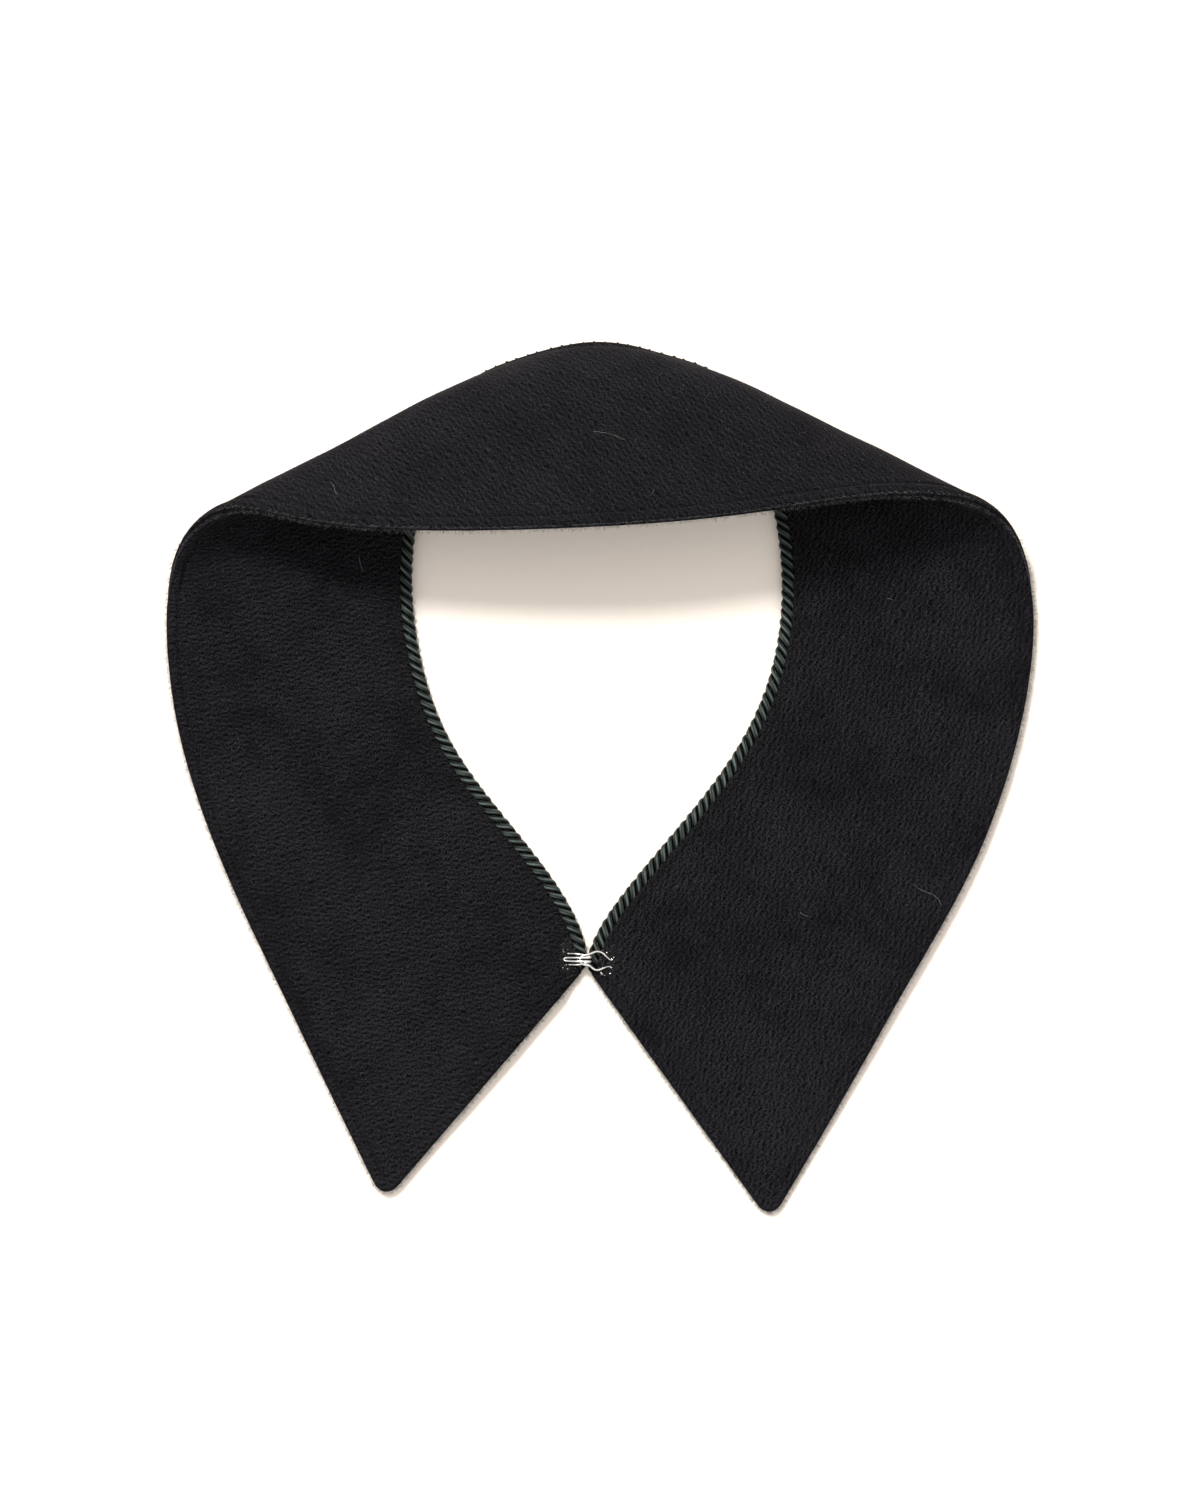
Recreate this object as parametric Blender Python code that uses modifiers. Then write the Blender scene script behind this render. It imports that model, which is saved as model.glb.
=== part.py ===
"""A detachable wool shirt collar, hooked closed and laid down on its two front panels.

The front panels lie flat with their under ply up. At both sides the cloth rolls over, so the back
fall comes to lie above the neck opening with its upper ply up. Metres, +Z up, +Y towards the centre
back. The origin is at the centre of the outline, on the surface that the collar lies on.
"""

from collections import namedtuple

import bmesh
import bpy
import numpy as np

MM = 0.001
COLLECTION_NAME = "detachable_collar"

# Cloth, in millimetres.
PLY = 1.3  # wall of one ply of melton
SEAM_GAP = 0.3  # between the two plies, and between a ply and the cord
PANEL_REST = PLY + SEAM_GAP / 2  # height of the seam plane where the collar lies flat
STATION_SPACING = 5.0  # mean distance between two cross lines of the cloth
TIP_SPACING = 1.6  # the same beside the two collar points
TIP_ROUNDING = 5.8  # length of edge taken up by the round of a collar point
OUTER_WAY_STATION = 4  # the cross line whose outer end shows which way the outer edge leaves a point
ACROSS = (0, 0.05, 0.14, 0.26, 0.39, 0.52, 0.65, 0.78, 0.89, 0.96, 1)  # neck edge to outer edge
SWELL_SCALE = 27 / 4  # brings the peak of across * (1 - across) ** 2, at a third of the way, to 1

# Neck cord, in millimetres.
CORD_RADIUS = 2.0
CORD_POINTS = 80
CORD_END_INSET = 3.8  # the cord stops this far short of each front corner
CORD_TURN = 45  # degrees that the cord turns in under the neck edge at the back
CORD_SINKS = (1.0, 5.0)  # rises of the neck edge between which the cord goes from its side to its corner
CORD_TURNS = (3.5, 8.0)  # rises between which the cord then turns in round that corner

# Hook and eye, in millimetres.
WIRE_RADIUS = 0.25
WIRE_SEAT = 2 * CORD_RADIUS + SEAM_GAP + WIRE_RADIUS  # height of a wire that lies across the cord
WIRE_POINTS = 46
HOOK_BEND = (-2.1, -47.3)  # plan place of the hook's outermost bend

# Middle of the outline in the coordinates of the table below.
OUTLINE_CENTRE = (0.14, -0.68)

# One row for each straight line across the cloth, from the left front edge round to the right one.
# neck and hem are the line's two ends in plan, and the rises are their heights above the flat
# panels. bow is how far the cloth swells out of the straight line, most at a third of the way.
Section = namedtuple("Section", "name neck_x neck_y neck_rise hem_x hem_y hem_rise bow")
SECTIONS = (
    Section("left front edge", -6.4, -52.9, 0, -56.0, -110.5, 0, 0),
    Section("left panel 1", -8.6, -41.6, 0, -65.3, -91.5, 0, 0),
    Section("left panel 2", -24.4, -17.3, 0, -81.3, -58.0, 0, 0),
    Section("left panel 3", -42.3, 7.3, 0, -97.8, -22.5, 0, 0),
    Section("left panel 4", -51.3, 34.5, 0, -108.8, 10.5, 0, 0),
    Section("left panel 5", -51.9, 63.5, 0, -112.0, 33.0, 0, 0),
    Section("left lift", -48.9, 77.0, 0, -112.2, 40.0, 0.4, 0),
    Section("left roll 1", -44.0, 87.5, 1.0, -111.5, 48.5, 3.0, 0),
    Section("left roll 2", -39.0, 95.0, 3.0, -108.5, 58.0, 9.0, 0),
    Section("left roll 3", -32.0, 101.5, 4.5, -101.5, 65.5, 16.0, 0),
    Section("left roll 4", -24.0, 105.2, 6.0, -91.0, 68.2, 22.5, 1.5),
    Section("left fall 1", -16.5, 107.6, 7.0, -73.5, 65.0, 28.5, 4),
    Section("left fall 2", -8.5, 109.5, 7.8, -40.0, 62.5, 33.5, 6),
    Section("centre back", 0.0, 110.3, 8.0, 0.0, 63.4, 36.0, 6),
    Section("right fall 2", 8.5, 109.4, 7.8, 37.0, 66.7, 34.0, 6),
    Section("right fall 1", 16.0, 107.5, 7.0, 69.5, 71.2, 29.0, 4),
    Section("right roll 4", 24.0, 105.2, 6.0, 89.5, 71.2, 22.5, 1.5),
    Section("right roll 3", 31.5, 101.7, 4.5, 101.0, 67.7, 16.0, 0),
    Section("right roll 2", 38.5, 95.2, 3.0, 108.3, 59.7, 9.0, 0),
    Section("right roll 1", 43.5, 87.8, 1.0, 111.6, 49.8, 3.0, 0),
    Section("right lift", 47.5, 77.0, 0, 112.5, 41.0, 0.4, 0),
    Section("right panel 5", 50.4, 63.5, 0, 112.3, 33.5, 0, 0),
    Section("right panel 4", 50.3, 34.5, 0, 108.8, 11.5, 0, 0),
    Section("right panel 3", 40.5, 7.4, 0, 97.6, -21.5, 0, 0),
    Section("right panel 2", 22.9, -16.6, 0, 80.4, -53.0, 0, 0),
    Section("right panel 1", 4.1, -40.6, 0, 62.1, -85.5, 0, 0),
    Section("right front edge", -0.6, -53.4, 0, 44.3, -115.8, 0, 0),
)

# The wires' bends, from the hook's outermost bend: x and y in plan, and lift above WIRE_SEAT.
Bend = namedtuple("Bend", "x y lift")
HOOK_HALF = (  # one of the hook's two like halves, from its sewing ring to the tip of its bill
    Bend(-5.9, 2.2, -1.1),
    Bend(-6.5, 2.8, -1.2),
    Bend(-7.2, 2.7, -1.2),
    Bend(-7.3, 2.0, -1.2),
    Bend(-6.5, 1.5, -1.15),
    Bend(-5.2, 1.42, -0.7),
    Bend(-4.1, 1.4, -0.15),
    Bend(-2.7, 1.25, 0.05),
    Bend(-0.9, 0.75, 0.05),
    Bend(-0.15, 0.55, 0.3),
    Bend(0.0, 0.48, 0.75),
    Bend(-0.35, 0.46, 1.2),
    Bend(-1.2, 0.46, 1.35),
    Bend(-3.5, 0.46, 1.2),
    Bend(-5.3, 0.46, 0.5),
    Bend(-6.4, 0.42, 0.0),
    Bend(-6.95, 0.27, -0.15),
    Bend(-7.1, 0.0, -0.15),
)
EYE = (  # from one sewing ring round the loop to the other one
    Bend(3.9, 1.6, -1.0),
    Bend(4.7, 1.9, -1.3),
    Bend(5.6, 1.5, -1.3),
    Bend(5.8, 0.6, -1.3),
    Bend(5.2, -0.2, -1.3),
    Bend(4.4, 0.2, -0.9),
    Bend(3.6, 1.0, -0.3),
    Bend(2.6, 1.8, 0.0),
    Bend(1.5, 2.0, 0.2),
    Bend(0.4, 1.7, 0.45),
    Bend(-0.6, 1.3, 0.65),
    Bend(-1.8, 1.1, 0.7),
    Bend(-2.7, 0.6, 0.7),
    Bend(-2.95, -0.15, 0.7),
    Bend(-2.6, -0.95, 0.7),
    Bend(-1.7, -1.35, 0.7),
    Bend(-0.5, -1.6, 0.65),
    Bend(0.4, -2.3, 0.45),
    Bend(1.4, -2.75, 0.2),
    Bend(2.8, -2.45, 0.0),
    Bend(4.0, -2.0, -0.6),
    Bend(5.0, -2.1, -1.2),
    Bend(5.5, -2.8, -1.3),
    Bend(5.1, -3.6, -1.3),
    Bend(4.2, -3.8, -1.2),
)


def natural_spline(knots, values, at):
    """Natural cubic spline through the rows of values, read at the given places."""
    gaps = np.diff(knots)
    slopes = np.diff(values, axis=0) / gaps[:, None]
    matrix = np.eye(len(knots))
    right = np.zeros_like(values)
    for row in range(1, len(knots) - 1):
        matrix[row, row - 1 : row + 2] = gaps[row - 1], 2 * (gaps[row - 1] + gaps[row]), gaps[row]
        right[row] = 6 * (slopes[row] - slopes[row - 1])
    bends = np.linalg.solve(matrix, right)
    span = np.clip(np.searchsorted(knots, at, side="right") - 1, 0, len(gaps) - 1)
    gap = gaps[span][:, None]
    after = (at - knots[span])[:, None]
    before = gap - after
    curved = (bends[span] * before**3 + bends[span + 1] * after**3) / (6 * gap)
    start = (values[span] / gap - bends[span] * gap / 6) * before
    end = (values[span + 1] / gap - bends[span + 1] * gap / 6) * after
    return curved + start + end


def level_spline(knots, values, at):
    """Cubic spline with no overshoot, so that a level stretch stays exactly level."""
    gaps = np.diff(knots)
    slopes = np.diff(values) / gaps
    tangents = np.zeros(len(values))
    for row in range(1, len(values) - 1):
        before, after = slopes[row - 1], slopes[row]
        if before * after > 0:
            tangents[row] = 2 * before * after / (before + after)
    span = np.clip(np.searchsorted(knots, at, side="right") - 1, 0, len(gaps) - 1)
    gap = gaps[span]
    u = (at - knots[span]) / gap
    start = (1 + 2 * u) * (1 - u) ** 2 * values[span]
    end = (3 - 2 * u) * u**2 * values[span + 1]
    leaving = u * (1 - u) ** 2 * gap * tangents[span]
    arriving = (u - 1) * u**2 * gap * tangents[span + 1]
    return start + end + leaving + arriving


def edge_curve(knots, points, at):
    """One long edge of the collar: smooth in plan, and exactly level where it lies flat."""
    plan = natural_spline(knots, points[:, :2], at)
    height = level_spline(knots, points[:, 2], at)
    return np.column_stack([plan, height])


def unit(vectors):
    return vectors / np.linalg.norm(vectors, axis=-1, keepdims=True)


def lengths_along(points):
    """Distance along a line of points, from its first point to each."""
    steps = np.linalg.norm(np.diff(points, axis=0), axis=1)
    return np.concatenate([[0], np.cumsum(steps)])


def smooth_step(value, low, high):
    """Goes smoothly from 0 at low to 1 at high."""
    share = np.clip((value - low) / (high - low), 0, 1)
    return share * share * (3 - 2 * share)


def station_places(length):
    """Places of the cross lines: evenly spaced, and closer beside the two collar points."""
    close = np.arange(0, 2 * TIP_ROUNDING, TIP_SPACING)
    count = round((length - 4 * TIP_ROUNDING) / STATION_SPACING)
    even = np.linspace(2 * TIP_ROUNDING, length - 2 * TIP_ROUNDING, count)
    return np.concatenate([close, even, (length - close)[::-1]])


def seam_surface():
    """Grid of points of the surface midway between the two plies, in millimetres."""
    centre = np.array([*OUTLINE_CENTRE, -PANEL_REST])
    neck = np.array([(row.neck_x, row.neck_y, row.neck_rise) for row in SECTIONS]) - centre
    hem = np.array([(row.hem_x, row.hem_y, row.hem_rise) for row in SECTIONS]) - centre
    bow = np.array([row.bow for row in SECTIONS])
    knots = (lengths_along(neck) + lengths_along(hem)) / 2
    at = station_places(knots[-1])
    neck_edge = edge_curve(knots, neck, at)
    hem_edge = edge_curve(knots, hem, at)
    along = np.gradient(neck_edge + hem_edge, at, axis=0)
    outward = unit(np.cross(hem_edge - neck_edge, along))
    swell = outward * level_spline(knots, bow, at)[:, None] * SWELL_SCALE
    columns = []
    for across in ACROSS:
        line = neck_edge * (1 - across) + hem_edge * across
        columns.append(line + swell * across * (1 - across) ** 2)
    grid = np.stack(columns, axis=1)
    round_point(grid)
    round_point(grid[::-1])
    return grid


def round_point(grid):
    """Rounds the collar point at the first cross line's outer end, in place."""
    point = grid[0, -1].copy()
    front_way = unit(grid[0, 0] - point)[:2]
    outer_way = unit(grid[OUTER_WAY_STATION, -1] - point)[:2]
    to_edges = np.linalg.inv(np.column_stack([front_way, outer_way]))
    near_point = np.linalg.norm(grid - point, axis=-1) < 2 * TIP_ROUNDING
    for station, step in np.argwhere(near_point):
        place = grid[station, step]
        inset = 1 - to_edges @ (place - point)[:2] / TIP_ROUNDING
        if inset.min() <= 0:
            continue
        inset *= inset.max() / np.linalg.norm(inset)
        kept = (1 - inset) * TIP_ROUNDING
        place[:2] = point[:2] + front_way * kept[0] + outer_way * kept[1]


def surface_normals(grid):
    """Unit normals that point to the under ply's side."""
    along = np.gradient(grid, axis=0)
    over = np.gradient(grid, axis=1)
    return unit(np.cross(along, over))


def material(name, colour, roughness, metallic=0.0):
    made = bpy.data.materials.new(name)
    made.use_nodes = True
    shader = made.node_tree.nodes["Principled BSDF"]
    shader.inputs["Base Color"].default_value = (*colour, 1)
    shader.inputs["Roughness"].default_value = roughness
    shader.inputs["Metallic"].default_value = metallic
    return made


def make_ply(name, grid, side, finish):
    """One ply: a sheet half a seam gap from the seam surface, thickened away from it."""
    points = (grid + surface_normals(grid) * side * SEAM_GAP / 2) * MM
    mesh = bmesh.new()
    verts = [[mesh.verts.new(place) for place in row] for row in points]
    for here, ahead in zip(verts, verts[1:]):
        for j in range(len(here) - 1):
            mesh.faces.new((here[j], ahead[j], ahead[j + 1], here[j + 1]))
    data = bpy.data.meshes.new(name)
    mesh.to_mesh(data)
    mesh.free()
    data.materials.append(finish)
    data.shade_smooth()
    ply = bpy.data.objects.new(name, data)
    wall = ply.modifiers.new("ply wall", "SOLIDIFY")
    wall.thickness = PLY * MM
    wall.offset = side
    wall.use_even_offset = True
    return ply


def make_tube(name, route, radius, ring, finish):
    """A round tube along a route in millimetres; ring is the curve's bevel resolution."""
    curve = bpy.data.curves.new(name, "CURVE")
    curve.dimensions = "3D"
    curve.bevel_depth = radius * MM
    curve.bevel_resolution = ring
    curve.use_fill_caps = True
    spline = curve.splines.new("POLY")
    spline.points.add(len(route) - 1)
    for point, place in zip(spline.points, route):
        point.co = (*(place * MM), 1)
    curve.materials.append(finish)
    return bpy.data.objects.new(name, curve)


def cord_route(grid):
    """The neck cord's centre line: beside the neck edge on the panels, and turned in under it at the back."""
    edge = grid[:, 0]
    edge_way = unit(np.gradient(edge, axis=0))
    outward = edge - grid[:, 1]
    outward -= edge_way * (outward * edge_way).sum(axis=1, keepdims=True)
    rise = edge[:, 2] - PANEL_REST
    turn = np.radians(CORD_TURN) * smooth_step(rise, *CORD_TURNS)
    reach = CORD_RADIUS + SEAM_GAP
    sideways = reach * np.cos(turn)
    under = PANEL_REST * smooth_step(rise, *CORD_SINKS) + reach * np.sin(turn)
    route = edge + unit(outward) * sideways[:, None] + surface_normals(grid)[:, 0] * under[:, None]
    route[:, 2] = np.maximum(route[:, 2], CORD_RADIUS)
    knots = lengths_along(route)
    at = np.linspace(CORD_END_INSET, knots[-1] - CORD_END_INSET, CORD_POINTS)
    return edge_curve(knots, route, at)


def wire_route(bends):
    """A wire's centre line through a list of bends, in millimetres."""
    base = np.array([HOOK_BEND[0] - OUTLINE_CENTRE[0], HOOK_BEND[1] - OUTLINE_CENTRE[1], WIRE_SEAT])
    points = base + np.array([(bend.x, bend.y, bend.lift) for bend in bends])
    knots = lengths_along(points)
    return natural_spline(knots, points, np.linspace(0, knots[-1], WIRE_POINTS))


def main():
    for old in list(bpy.data.objects):
        bpy.data.objects.remove(old)
    wool = material("black wool melton", (0.012, 0.012, 0.014), 0.9)
    under_wool = material("black wool under ply", (0.014, 0.014, 0.016), 0.9)
    satin = material("bottle green satin cord", (0.006, 0.03, 0.02), 0.45)
    steel = material("nickelled wire", (0.75, 0.75, 0.74), 0.25, 1.0)

    grid = seam_surface()
    other_half = [Bend(bend.x, -bend.y, bend.lift) for bend in HOOK_HALF[-2::-1]]
    pieces = (
        make_ply("upper_collar", grid, -1, wool),
        make_ply("under_collar", grid, 1, under_wool),
        make_tube("neck_cord", cord_route(grid), CORD_RADIUS, 2, satin),
        make_tube("hook", wire_route([*HOOK_HALF, *other_half]), WIRE_RADIUS, 1, steel),
        make_tube("eye", wire_route(EYE), WIRE_RADIUS, 1, steel),
    )
    collar = bpy.data.collections.new(COLLECTION_NAME)
    bpy.context.scene.collection.children.link(collar)
    for piece in pieces:
        collar.objects.link(piece)


main()
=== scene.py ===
"""Dresses the packed wool collar: two plies of melton, a twisted neck cord, a hook and eye, the sewing,
the nap and a few loose fibres, on a plain pale floor. Metres, +Z up, +Y towards the centre back."""

from collections import namedtuple
from functools import lru_cache

import bpy
import numpy as np
from bpy.props import FloatProperty, FloatVectorProperty, IntProperty, PointerProperty
from mathutils.kdtree import KDTree
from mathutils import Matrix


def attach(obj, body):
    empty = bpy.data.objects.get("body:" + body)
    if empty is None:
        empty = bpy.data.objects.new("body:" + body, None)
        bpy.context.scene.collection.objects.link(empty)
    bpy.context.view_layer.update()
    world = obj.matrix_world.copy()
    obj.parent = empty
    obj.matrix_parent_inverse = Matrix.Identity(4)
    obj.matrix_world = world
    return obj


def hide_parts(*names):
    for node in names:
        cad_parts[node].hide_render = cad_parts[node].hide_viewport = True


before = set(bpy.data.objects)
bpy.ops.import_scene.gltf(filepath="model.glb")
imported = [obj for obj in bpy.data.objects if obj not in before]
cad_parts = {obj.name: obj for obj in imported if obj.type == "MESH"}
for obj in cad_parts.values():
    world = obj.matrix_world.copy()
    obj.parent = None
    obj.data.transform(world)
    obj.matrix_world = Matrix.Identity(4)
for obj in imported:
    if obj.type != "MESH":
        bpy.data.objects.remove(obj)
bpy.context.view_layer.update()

bl_info = {
    "name": "Wool collar dresser",
    "version": (1, 0, 0),
    "blender": (4, 5, 0),
    "location": "3D View > Sidebar > Collar",
    "description": "Dresses a packed wool collar with cloth, cord, fastening, sewing and nap",
    "category": "Object",
}

MM = 0.001
BODY = "root"


def table(row, *rows):
    """Rows of values under the row's named columns."""
    return tuple(row(*values) for values in rows)


# The collar's lines, in millimetres, as in the solids.
OUTLINE_CENTRE = (0.14, -0.68)
TIP_ROUNDING = 5.8  # length of edge taken up by the round of a collar point
OUTER_WAY_AT = 6.4  # how far along a point's outer edge shows the edge's way
SWELL_SCALE = 27 / 4  # brings the peak of across * (1 - across) ** 2 to 1
SECTIONS = table(
    namedtuple("Section", "name neck_x neck_y neck_rise hem_x hem_y hem_rise bow"),
    ("left front edge", -6.4, -52.9, 0, -56.0, -110.5, 0, 0),
    ("left panel 1", -8.6, -41.6, 0, -65.3, -91.5, 0, 0),
    ("left panel 2", -24.4, -17.3, 0, -81.3, -58.0, 0, 0),
    ("left panel 3", -42.3, 7.3, 0, -97.8, -22.5, 0, 0),
    ("left panel 4", -51.3, 34.5, 0, -108.8, 10.5, 0, 0),
    ("left panel 5", -51.9, 63.5, 0, -112.0, 33.0, 0, 0),
    ("left lift", -48.9, 77.0, 0, -112.2, 40.0, 0.4, 0),
    ("left roll 1", -44.0, 87.5, 1.0, -111.5, 48.5, 3.0, 0),
    ("left roll 2", -39.0, 95.0, 3.0, -108.5, 58.0, 9.0, 0),
    ("left roll 3", -32.0, 101.5, 4.5, -101.5, 65.5, 16.0, 0),
    ("left roll 4", -24.0, 105.2, 6.0, -91.0, 68.2, 22.5, 1.5),
    ("left fall 1", -16.5, 107.6, 7.0, -73.5, 65.0, 28.5, 4),
    ("left fall 2", -8.5, 109.5, 7.8, -40.0, 62.5, 33.5, 6),
    ("centre back", 0.0, 110.3, 8.0, 0.0, 63.4, 36.0, 6),
    ("right fall 2", 8.5, 109.4, 7.8, 37.0, 66.7, 34.0, 6),
    ("right fall 1", 16.0, 107.5, 7.0, 69.5, 71.2, 29.0, 4),
    ("right roll 4", 24.0, 105.2, 6.0, 89.5, 71.2, 22.5, 1.5),
    ("right roll 3", 31.5, 101.7, 4.5, 101.0, 67.7, 16.0, 0),
    ("right roll 2", 38.5, 95.2, 3.0, 108.3, 59.7, 9.0, 0),
    ("right roll 1", 43.5, 87.8, 1.0, 111.6, 49.8, 3.0, 0),
    ("right lift", 47.5, 77.0, 0, 112.5, 41.0, 0.4, 0),
    ("right panel 5", 50.4, 63.5, 0, 112.3, 33.5, 0, 0),
    ("right panel 4", 50.3, 34.5, 0, 108.8, 11.5, 0, 0),
    ("right panel 3", 40.5, 7.4, 0, 97.6, -21.5, 0, 0),
    ("right panel 2", 22.9, -16.6, 0, 80.4, -53.0, 0, 0),
    ("right panel 1", 4.1, -40.6, 0, 62.1, -85.5, 0, 0),
    ("right front edge", -0.6, -53.4, 0, 44.3, -115.8, 0, 0),
)
CENTRE_BACK = [section.name for section in SECTIONS].index("centre back")

# The neck cord beside the neck edge, in millimetres and degrees. Rises are the neck edge's own, above where
# it lies on the panels.
CORD_BESIDE = 0.7  # gap between the neck edge and the cord's side, before the overlap is taken off
CORD_SINKS = (1.0, 5.0)  # rises between which the cord goes from the edge's side to its corner
CORD_SINK = 1.2  # how far down that takes it
CORD_TURN = 45  # degrees that the cord then turns in under the neck edge, at the back
CORD_TURNS = (3.5, 8.0)  # rises between which it turns in
CORD_UNDER = 2.1  # reach of that turn
CORD_INSET = 0.3  # how far from the corners of the neck edge the cord ends
CORD_BENT_BACK = 1.2  # how far its ends are drawn back over the cloth
CORD_BEND = 4  # length of cord that this takes
CORD_TAPER = (-1.5, 4)  # distances from its ends over which the cord grows to its full thickness
END_YARN = 0.35  # a yarn's radius at the very end, as a share of its radius
STRAND_ORBIT, STRAND_RADIUS = 0.56, 0.44  # shares of the cord's radius
YARN_ORBIT, YARN_RADIUS = 0.56, 0.47  # shares of a strand's radius
YARN_PITCH = 34  # length of one turn of a yarn round its strand
# The cord's painted light: the yarns' crowns get a painted highlight, and their sides and hollows get painted
# shade.
PAINTED_SIDE_LIGHT = 0.12  # how pale a yarn's sides are, as a share of its crest
PAINTED_LIGHT_FROM = (0.5, 0.9)  # distances from the cord's centre, as shares of its radius, over which it pales

# The wires' bends, from the hook's outermost bend: x and y in plan, and lift above their seat.
HOOK_PLACE = np.subtract((-2.1, -47.3), OUTLINE_CENTRE)
WIRE_SEAT = 4.55  # height of their seat above the floor
Bend = namedtuple("Bend", "x y lift")
HOOK_HALF = table(
    Bend,
    (-5.9, 2.2, -1.1), (-6.5, 2.8, -1.2), (-7.2, 2.7, -1.2), (-7.3, 2.0, -1.2),
    (-6.5, 1.5, -1.15), (-5.2, 1.42, -0.7), (-4.1, 1.4, -0.15), (-2.7, 1.25, 0.05),
    (-0.9, 0.75, 0.05), (-0.15, 0.55, 0.3), (0.0, 0.48, 0.75), (-0.35, 0.46, 1.2),
    (-1.2, 0.46, 1.35), (-3.5, 0.46, 1.2), (-5.3, 0.46, 0.5), (-6.4, 0.42, 0.0),
    (-6.95, 0.27, -0.15), (-7.1, 0.0, -0.15),
)
EYE = table(
    Bend,
    (3.9, 1.6, -0.4), (4.7, 1.9, -1.3), (5.6, 1.5, -1.3), (5.8, 0.6, -1.3),
    (5.2, -0.2, -1.3), (4.4, 0.2, -0.9), (3.6, 1.0, -0.3), (2.6, 1.8, 0.0),
    (1.5, 2.0, 0.2), (0.4, 1.7, 0.45), (-0.6, 1.3, 0.65), (-1.8, 1.1, 0.7),
    (-2.7, 0.6, 0.7), (-2.95, -0.15, 0.7), (-2.6, -0.95, 0.7), (-1.7, -1.35, 0.7),
    (-0.5, -1.6, 0.65), (0.4, -2.3, 0.45), (1.4, -2.75, 0.2), (2.8, -2.45, 0.0),
    (4.0, -2.0, -0.6), (5.0, -2.1, -1.2), (5.5, -2.8, -1.3), (5.1, -3.6, -1.3),
    (4.2, -4.0, -1.3), (3.4, -4.2, -1.3), (2.8, -3.8, -0.6), (2.4, -3.35, -0.25),
)

# Patches of thread over the fastening, in millimetres from the hook's outermost bend.
PATCHES = table(
    namedtuple("Patch", "x y half_length half_width turn threads"),
    (-6.7, 2.1, 3.0, 2.5, 60, 34),
    (-6.7, -2.1, 3.0, 2.6, -60, 34),
    (4.9, 1.3, 3.2, 2.4, 40, 34),
    (4.5, -3.1, 3.0, 2.4, -40, 34),
)
PATCH_FOOT, PATCH_TOP = 2.9, 3.65  # heights of the cloth and of the thread over it

# The mesh's steps away from a front edge, and from a neck or outer edge: how far each length of step goes,
# and that length.
FRONT_STEPS = ((0.4, 0.13), (1.0, 0.2), (7.0, 0.3), (9.0, 0.6))
SIDE_STEPS = ((0.4, 0.13), (1.0, 0.2), (4.2, 0.25), (5.0, 0.4))
USUAL_WIDTH = 56  # from the neck edge to the outer edge
INNER_LINE = 4  # a long mesh line just inside the neck edge

# The wall of a ply, in millimetres: its edges, and its welts and grooves (height below 0) beside them.
EDGE_WALL, LEAST_WALL = 0.35, 0.3
EDGE_ROUND, NECK_ROUND = 1.25, 0.7  # distances over which the wall grows to its full thickness
STITCH_GROOVE, GROOVE_WIDTH = 0.5, 0.45
Ridge = namedtuple("Ridge", "at width height")
OUTER_WELT = Ridge(1.7, 0.8, 0.2)
NECK_RIDGES = table(Ridge, (1.1, 0.8, 0.25), (2.6, 0.6, -0.15))

# Soft troughs (depth below 0) and swells of the cloth, in plan, in millimetres and degrees; shade is painted
# light and shade: how much paler, or below 0 darker, the wool is painted there, darker in the troughs, paler
# on the swells and on the fall's top and left side.
CREASES = table(
    namedtuple("Crease", "face x y turn length width depth shade"),
    ("panel", -62, -9, 71, 22, 8, -0.9, -0.22),
    ("panel", -91, 25, 50, 12, 8, -0.6, -0.18),
    ("panel", -42, -22, 60, 16, 9, 0.7, 0.16),
    ("panel", -84, -16, 55, 20, 8, 0.8, 0.08),
    ("panel", -72, 34, 60, 18, 9, 0.5, 0.1),
    ("panel", -58, -62, 50, 20, 8, 0.4, 0.08),
    ("panel", 62, 3, -55, 17, 8, -0.8, -0.22),
    ("panel", 35, -45, -50, 14, 8, -0.6, -0.18),
    ("panel", 88, 10, -70, 24, 9, 0.6, 0.1),
    ("panel", 62, -40, -55, 20, 9, 0.6, 0.1),
    ("panel", 46, -87, -60, 14, 10, 0.3, 0.16),
    ("fall", -40, 82, 35, 26, 9, 0.5, 0.0),
    ("fall", 30, 84, -30, 30, 9, 0.4, 0.0),
    ("fall", 66, 78, -20, 18, 7, -0.4, 0.0),
    # painted light where the fall's left side and its top face the light
    ("fall", -66, 76, 20, 22, 12, 0.0, 0.18),
    ("fall", 0, 104, 0, 42, 8, 0.0, 0.2),
)
PANEL_RISE = (0.2, 2.5)  # rises above its rest height between which a panel becomes a roll
FALL_HEIGHT = (8, 14)  # heights between which a roll becomes the fall
EDGE_FADE, NECK_FADE = (3.5, 12), (1, 9)  # distances over which the relief grows from each edge
FLOOR_ROOM = 0.02  # the lowest that cloth, or a fibre's middle, lies above the floor
PANEL_SWELL = 0.9  # how far the middle of a panel stands off the floor
EDGE_LIFT = 1.5  # how far the panels' free edges curl off the floor
LIFT_REACH = 14  # distance from the edge at which that curl ends
LIFT_FADE = (2, 8)  # distances from the neck edge over which it grows
# The share of the curl kept at each collar point, and the distances from it over which the curl grows.
POINTS = table(namedtuple("Point", "row kept near far"), (0, 0.4, 10, 45), (-1, 0.0, 10, 75))

# The wool's weave in the flat cut: warp and weft threads per millimetre, and the ribs that they make.
WARP = (1.50, 0.158)
WEFT = (-0.05, 1.20)
REPEAT = 4  # threads in one repeat
RIBS = table(
    namedtuple("Rib", "warps wefts share"),
    (2, 1, 1.0), (1, 2, 0.94), (1, 1, 0.54), (3, 1, 0.5), (0, 4, 0.5), (3, 2, 0.42),
)

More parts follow.
